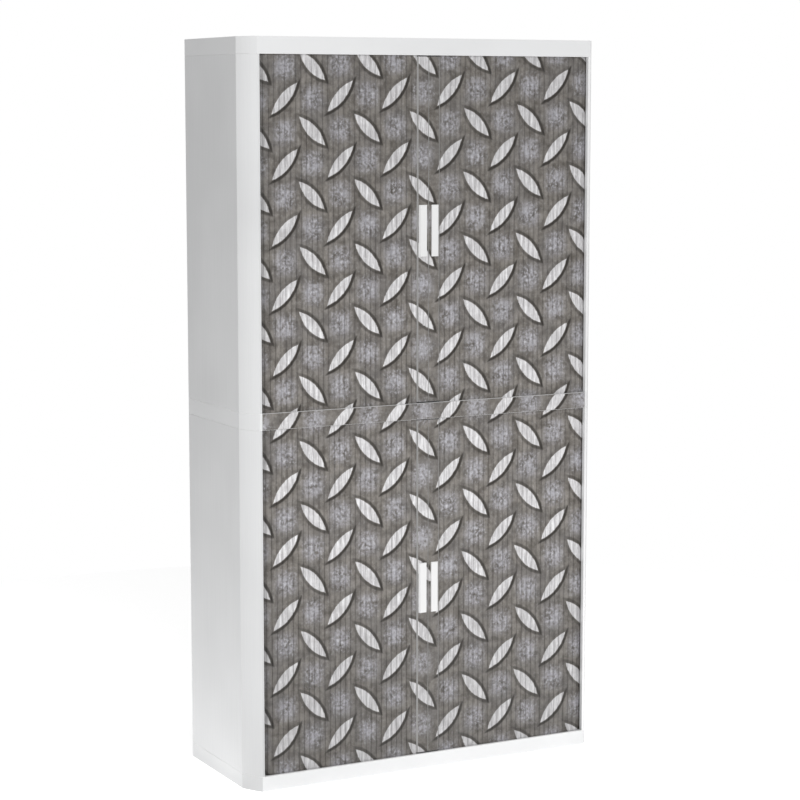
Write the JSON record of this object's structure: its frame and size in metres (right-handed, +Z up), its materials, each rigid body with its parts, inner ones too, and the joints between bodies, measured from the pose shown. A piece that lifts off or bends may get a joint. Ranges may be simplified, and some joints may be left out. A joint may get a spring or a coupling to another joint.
{
  "type": "roll front tool cabinet",
  "caption": "Tall free-standing storage cabinet closed by side-opening slatted curtains with a printed tread-plate face, over shelves in a white moulded plastic carcass.",
  "frame": {"origin": "middle of the footprint, on the floor", "axes": "+Z up, the curtain front faces -Y, +X to the right seen from the front"},
  "size_m": [1.1, 0.415, 2.04],
  "materials": {
    "shell_white": "satin white moulded plastic, faint texture",
    "column_white": "satin pale grey-white extruded plastic",
    "panel_white": "satin white extruded plastic with faint upright drawing lines",
    "inner_white": "plain matt off-white extruded plastic",
    "strip_grey": "matt light grey extruded plastic",
    "shelf_grey": "matt light grey moulded plastic, fine grain",
    "clip_grey": "matt mid grey moulded plastic",
    "curtain_print": null,
    "lead_bar_print": "plastic end bar under the same matt printed film",
    "handle_white": "smooth white moulded plastic",
    "glide_black": "black low-friction plastic"
  },
  "bodies": {
    "carcass": {"base_plate": "shell_white", "middle_plate": "shell_white", "top_plate": "shell_white", "middle_print_film": "curtain_print", "left_corner_column_lower": "column_white", "left_side_panel_lower": "panel_white", "left_inner_side_panel_lower": "inner_white", "left_rear_guard_lower": "inner_white", "right_corner_column_lower": "column_white", "right_side_panel_lower": "panel_white", "right_inner_side_panel_lower": "inner_white", "right_rear_guard_lower": "inner_white", "back_panel_lower_left": "panel_white", "back_panel_lower_centre": "panel_white", "back_panel_lower_right": "panel_white", "back_joint_strips_lower": "strip_grey", "shelf_lower_1": "shelf_grey", "shelf_lower_2": "shelf_grey", "shelf_clips_lower": "clip_grey", "left_corner_column_upper": "column_white", "left_side_panel_upper": "panel_white", "left_inner_side_panel_upper": "inner_white", "left_rear_guard_upper": "inner_white", "right_corner_column_upper": "column_white", "right_side_panel_upper": "panel_white", "right_inner_side_panel_upper": "inner_white", "right_rear_guard_upper": "inner_white", "back_panel_upper_left": "panel_white", "back_panel_upper_centre": "panel_white", "back_panel_upper_right": "panel_white", "back_joint_strips_upper": "strip_grey", "shelf_upper_1": "shelf_grey", "shelf_upper_2": "shelf_grey", "shelf_clips_upper": "clip_grey"},
    "left_curtain_lower": {"left_curtain_slats_lower": "curtain_print", "left_lead_bar_lower": "lead_bar_print", "left_handle_lower": "handle_white", "left_glide_shoes_lower": "glide_black"},
    "right_curtain_lower": {"right_curtain_slats_lower": "curtain_print", "right_lead_bar_lower": "lead_bar_print", "right_handle_lower": "handle_white", "right_glide_shoes_lower": "glide_black"},
    "left_curtain_upper": {"left_curtain_slats_upper": "curtain_print", "left_lead_bar_upper": "lead_bar_print", "left_handle_upper": "handle_white", "left_glide_shoes_upper": "glide_black"},
    "right_curtain_upper": {"right_curtain_slats_upper": "curtain_print", "right_lead_bar_upper": "lead_bar_print", "right_handle_upper": "handle_white", "right_glide_shoes_upper": "glide_black"}
  },
  "joints": [
    {"name": "left_curtain_lower_slide", "type": "slide", "parent": "carcass", "child": "left_curtain_lower", "axis": [-1, 0, 0], "range_m": [0, 0.455], "deforming": ["left_curtain_slats_lower"]},
    {"name": "right_curtain_lower_slide", "type": "slide", "parent": "carcass", "child": "right_curtain_lower", "axis": [1, 0, 0], "range_m": [0, 0.455], "deforming": ["right_curtain_slats_lower"]},
    {"name": "left_curtain_upper_slide", "type": "slide", "parent": "carcass", "child": "left_curtain_upper", "axis": [-1, 0, 0], "range_m": [0, 0.455], "deforming": ["left_curtain_slats_upper"]},
    {"name": "right_curtain_upper_slide", "type": "slide", "parent": "carcass", "child": "right_curtain_upper", "axis": [1, 0, 0], "range_m": [0, 0.455], "deforming": ["right_curtain_slats_upper"]}
  ]
}
